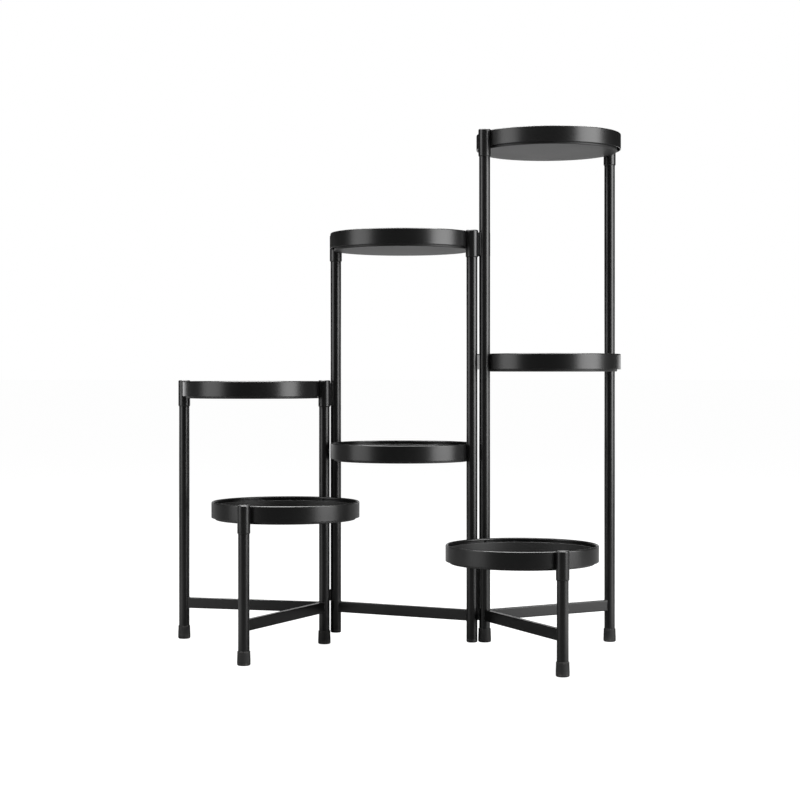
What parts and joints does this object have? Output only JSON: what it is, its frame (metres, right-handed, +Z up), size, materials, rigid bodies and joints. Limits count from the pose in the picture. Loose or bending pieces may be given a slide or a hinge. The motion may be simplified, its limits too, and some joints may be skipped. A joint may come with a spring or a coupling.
{
  "type": "tiered plant stand",
  "caption": "Black steel plant stand of round trays on slim posts, a middle frame with a hinged wing on each side, for holding flower pots at several heights.",
  "frame": {"origin": "on the floor, under the middle of the stand's box", "axes": "+Z up; +X to the right of someone facing the stand's front; +Y away from them"},
  "size_m": [0.8374, 0.5442, 0.9545],
  "materials": {
    "frame_steel": "satin black powder coat",
    "sleeve_steel": "satin black powder coat",
    "pan_steel": "matt black powder coat on pressed sheet",
    "foot_rubber": "matt moulded rubber",
    "clip_plastic": "fine moulded grain",
    "plug_plastic": "fine moulded grain",
    "screw_steel": "blackened steel"
  },
  "bodies": {
    "middle_frame": {"middle_left_post": "frame_steel", "middle_left_collar": "sleeve_steel", "middle_left_plug": "plug_plastic", "middle_right_post": "frame_steel", "middle_right_collar": "sleeve_steel", "middle_right_plug": "plug_plastic", "middle_high_ring": "frame_steel", "middle_low_ring": "frame_steel", "middle_bar": "frame_steel", "right_upper_clip": "clip_plastic", "right_lower_clip": "clip_plastic", "right_clip_screws": "screw_steel", "middle_stop_rivets": "screw_steel", "middle_collar_screws": "screw_steel"},
    "left_wing": {"left_shared_post": "frame_steel", "left_shared_collar": "sleeve_steel", "left_shared_foot": "foot_rubber", "left_rear_post": "frame_steel", "left_rear_collar": "sleeve_steel", "left_rear_foot": "foot_rubber", "left_front_post": "frame_steel", "left_front_collar": "sleeve_steel", "left_front_foot": "foot_rubber", "left_high_ring": "frame_steel", "left_low_ring": "frame_steel", "left_rear_bar": "frame_steel", "left_front_bar": "frame_steel", "left_upper_clip": "clip_plastic", "left_lower_clip": "clip_plastic", "left_clip_screws": "screw_steel", "left_collar_screws": "screw_steel"},
    "right_wing": {"right_shared_post": "frame_steel", "right_shared_collar": "sleeve_steel", "right_shared_foot": "foot_rubber", "right_rear_post": "frame_steel", "right_rear_collar": "sleeve_steel", "right_rear_foot": "foot_rubber", "right_front_post": "frame_steel", "right_front_collar": "sleeve_steel", "right_front_foot": "foot_rubber", "right_high_ring": "frame_steel", "right_middle_ring": "frame_steel", "right_low_ring": "frame_steel", "right_rear_bar": "frame_steel", "right_front_bar": "frame_steel", "right_stop_rivets": "screw_steel", "right_collar_screws": "screw_steel"},
    "left_high_tray": {"left_high_pan": "pan_steel"},
    "left_low_tray": {"left_low_pan": "pan_steel"},
    "middle_high_tray": {"middle_high_pan": "pan_steel"},
    "middle_low_tray": {"middle_low_pan": "pan_steel"},
    "right_high_tray": {"right_high_pan": "pan_steel"},
    "right_middle_tray": {"right_middle_pan": "pan_steel"},
    "right_low_tray": {"right_low_pan": "pan_steel"}
  },
  "joints": [
    {"name": "left_wing_swing", "type": "hinge", "parent": "middle_frame", "child": "left_wing", "pos_m": [-0.11315, 0.11404, 0.28], "axis": [0, 0, 1], "range_deg": [-110, 30]},
    {"name": "right_wing_swing", "type": "hinge", "parent": "middle_frame", "child": "right_wing", "pos_m": [0.16251, -0.00578, 0.42], "axis": [0, 0, 1], "range_deg": [-8, 58]},
    {"name": "left_high_lift", "type": "slide", "parent": "left_wing", "child": "left_high_tray", "axis": [0, 0, 1], "range_m": [0, 0.045]},
    {"name": "left_low_lift", "type": "slide", "parent": "left_wing", "child": "left_low_tray", "axis": [0, 0, 1], "range_m": [0, 0.045]},
    {"name": "middle_high_lift", "type": "slide", "parent": "middle_frame", "child": "middle_high_tray", "axis": [0, 0, 1], "range_m": [0, 0.045]},
    {"name": "middle_low_lift", "type": "slide", "parent": "middle_frame", "child": "middle_low_tray", "axis": [0, 0, 1], "range_m": [0, 0.045]},
    {"name": "right_high_lift", "type": "slide", "parent": "right_wing", "child": "right_high_tray", "axis": [0, 0, 1], "range_m": [0, 0.045]},
    {"name": "right_middle_lift", "type": "slide", "parent": "right_wing", "child": "right_middle_tray", "axis": [0, 0, 1], "range_m": [0, 0.045]},
    {"name": "right_low_lift", "type": "slide", "parent": "right_wing", "child": "right_low_tray", "axis": [0, 0, 1], "range_m": [0, 0.045]}
  ]
}
